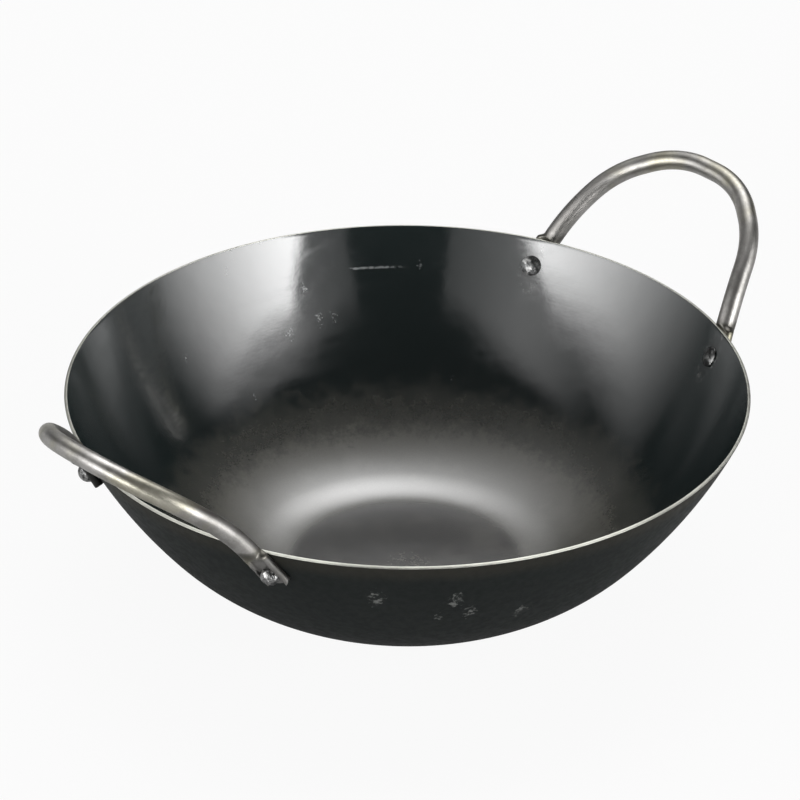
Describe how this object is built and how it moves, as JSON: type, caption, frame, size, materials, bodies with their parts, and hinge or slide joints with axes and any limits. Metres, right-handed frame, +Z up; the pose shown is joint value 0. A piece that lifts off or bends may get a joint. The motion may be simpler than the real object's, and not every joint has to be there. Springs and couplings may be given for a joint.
{
  "type": "kadai",
  "caption": "Wide bowl-shaped cooking pan of dark spun iron, with looped pipe handles riveted to opposite sides of its rim.",
  "frame": {"origin": "centre of the flat bottom that the bowl stands on, in the plane of the surface under it", "axes": "+Z up out of the bowl's mouth, +X towards the right handle, -Y towards the front rivets"},
  "size_m": [0.4214, 0.33, 0.1486],
  "materials": {
    "seasoned_iron": "seasoned sheet iron, dark blue-grey, semi-gloss inside with a bare ground rim edge",
    "handle_steel": "satin steel pipe with faint heat tint near its crushed feet",
    "rivet_steel": "hammered steel heads with scuffs"
  },
  "bodies": {
    "root": {"bowl": "seasoned_iron", "left_handle": "handle_steel", "right_handle": "handle_steel", "left_front_rivet": "rivet_steel", "left_rear_rivet": "rivet_steel", "right_front_rivet": "rivet_steel", "right_rear_rivet": "rivet_steel"}
  },
  "joints": []
}
